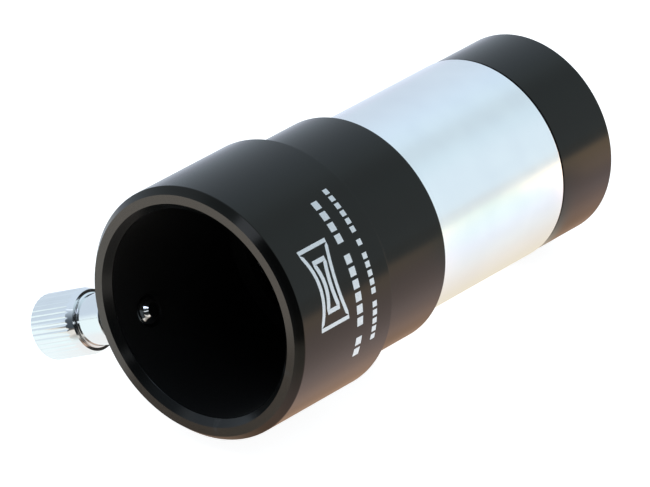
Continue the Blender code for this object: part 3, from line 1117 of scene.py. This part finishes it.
def rim_shade(tree, x, y):
    """How much of the table's light is left in the shade under the rim."""
    across = math_node(tree, "DIVIDE", math_node(tree, "SUBTRACT", x, SHADE_X), SHADE_HALF_WIDTH)
    along_axis = math_node(
        tree, "DIVIDE", math_node(tree, "SUBTRACT", y, SHADE_Y), SHADE_HALF_LENGTH
    )
    away = math_node(
        tree, "ADD",
        math_node(tree, "POWER", across, 2.0),
        math_node(tree, "POWER", along_axis, 2.0),
    )
    return stepped(tree, away, 0.75, 1.25, SHADE_LEVEL, 1.0)


def make_painted_table_light():
    """The table's reflection painted into a glowing sheet: painted warm shade near the object,
    bright further off.

    x and y are measured on the table, and are nearly the world's X and Y. The strip that the
    bright barrel mirrors is painted whiter than what the black parts mirror, as bounce light from
    the barrel.
    """
    glow, tree, shader = new_material("table_glow")
    tree.nodes.remove(shader)
    place = object_place(tree)
    parts = add_node(tree, "ShaderNodeSeparateXYZ", {0: place})
    x = parts.outputs[0]
    y = math_node(tree, "ADD", parts.outputs[1], CELL_END_Y)

    # The sheet's colour is all painted light: the table's shade and bounce under the object, its
    # light in front
    in_front = stepped(tree, y, -46 * MM, -36 * MM, 1.0, 0.0)
    on_left = stepped(tree, math_node(tree, "SUBTRACT", x, y), 14 * MM, 32 * MM, 1.0, 0.0)
    front = mixed_colour(tree, on_left, FRONT_PAINTED_LIGHT, FRONT_LEFT_PAINTED_LIGHT)
    tint = mixed_colour(tree, in_front, under_object(tree, x, y), front)

    towards_end = along(tree, place, TABLE_END_WAY)
    end = stepped(tree, towards_end, 110 * MM, 150 * MM, 1.0, BEYOND_TABLE_LEVEL)
    level = math_node(tree, "MULTIPLY", rim_shade(tree, x, y), end)
    light = add_node(tree, "ShaderNodeEmission", {"Color": tint, "Strength": level})
    tree.links.new(light.outputs[0], tree.nodes["Material Output"].inputs["Surface"])
    return glow


# ---------------------------------------------------------------- tent and soft lights

# The tent's colour from left to right, and how bright it is from front to back
TENT_ACROSS = (
    (-0.90, (0.66, 0.76, 0.86)),
    (-0.60, (0.70, 0.81, 0.93)),
    (-0.27, (0.74, 0.89, 1.03)),
    (-0.05, (0.75, 0.91, 1.02)),
    (0.10, (0.68, 0.81, 0.89)),
    (0.22, (0.68, 0.81, 0.89)),
    (0.38, (0.75, 0.91, 1.00)),
    (0.55, (0.81, 0.95, 1.04)),
    (0.90, (0.81, 0.95, 1.02)),
)
TENT_FRONT_TO_BACK = (
    (-1.00, (0.08, 0.08, 0.08)),
    (-0.70, (0.20, 0.20, 0.20)),
    (-0.45, (0.42, 0.42, 0.42)),
    (-0.20, (0.66, 0.66, 0.66)),
    (0.10, (0.90, 0.90, 0.90)),
    (0.40, (1.00, 1.00, 1.00)),
)
TENT_BY_TABLE = (0.90, 1.02, 1.06)
DARK_SIDE = (0.78, -0.58, 0.24)

# Each soft light: its name, direction from the object, side in metres, colour and radiance
SOFTBOX_DISTANCE = 1.2
SOFTBOXES = (
    ("above_rim", (0.196, -0.440, 0.876), 0.34, (0.72, 0.80, 1.0), 2.3),
    ("front_left", (-0.44, -0.55, 0.71), 0.24, (0.95, 0.98, 1.0), 0.4),
    ("front_card", (-0.154, -0.973, 0.172), 0.10, (0.72, 0.82, 1.0), 0.9),
    ("by_camera", (0.53, -0.72, 0.45), 0.13, (0.90, 0.96, 1.0), 1.3),
)


def make_world():
    """A cool studio tent, dimmer towards the front except on the left, and dark by the camera.

    At the front left it is brighter low down, where it takes light from the table.
    """
    world = bpy.data.worlds.new("studio")
    world.use_nodes = True
    tree = world.node_tree
    way = add_node(tree, "ShaderNodeTexCoord").outputs["Generated"]
    parts = add_node(tree, "ShaderNodeSeparateXYZ", {0: way})
    x, y, z = parts.outputs

    on_left = stepped(tree, x, -0.62, -0.30, 1.0, 0.0)
    ahead = stepped(tree, y, -0.30, 0.10, 1.0, 0.0)
    low = stepped(tree, z, -0.05, 0.20, 1.0, 0.0)
    by_table = math_node(tree, "MULTIPLY", math_node(tree, "MULTIPLY", ahead, low), on_left)
    across = ramped(tree, x, -1.0, 1.0, TENT_ACROSS)
    tent = mixed_colour(tree, by_table, across, TENT_BY_TABLE)
    dimmed = ramped(tree, y, -1.0, 1.0, TENT_FRONT_TO_BACK)
    dimmed = mixed_colour(tree, on_left, dimmed, (1.0, 1.0, 1.0))

    background = tree.nodes["Background"]
    tree.links.new(mixed_colour(tree, 1.0, tent, dimmed, "MULTIPLY"), background.inputs["Color"])
    dark = stepped(tree, along(tree, way, DARK_SIDE), 0.62, 0.88, 1.0, 0.10)
    tree.links.new(dark, background.inputs["Strength"])
    bpy.context.scene.world = world


def add_softbox(name, way, size, colour, radiance):
    """A square area light that faces the object from a direction, as bright as its radiance."""
    light = bpy.data.lights.new(name, "AREA")
    light.shape = "SQUARE"
    light.size = size
    light.color = colour
    light.energy = radiance * math.pi * size ** 2
    lamp = bpy.data.objects.new(name, light)
    back = Vector(way).normalized()
    lamp.location = back * SOFTBOX_DISTANCE
    lamp.rotation_mode = "QUATERNION"
    lamp.rotation_quaternion = (-back).to_track_quat("-Z", "Y")
    bpy.context.scene.collection.objects.link(lamp)


# ---------------------------------------------------------------- the whole scene

def make_stage():
    """Everything that isn't the object."""
    make_camera()
    make_floor()
    make_world()
    for softbox in SOFTBOXES:
        add_softbox(*softbox)
    bpy.context.scene.view_settings.view_transform = "Standard"


def make_object():
    """Every piece of the Barlow."""
    finish = make_materials()
    make_holder(finish)
    make_barrel(finish)
    make_glare_stop(finish)
    make_cell(finish)
    make_lenses(finish)
    make_retaining_ring(finish)
    make_stud(finish)
    make_knob(finish)
    make_print(finish)


make_stage()
make_object()
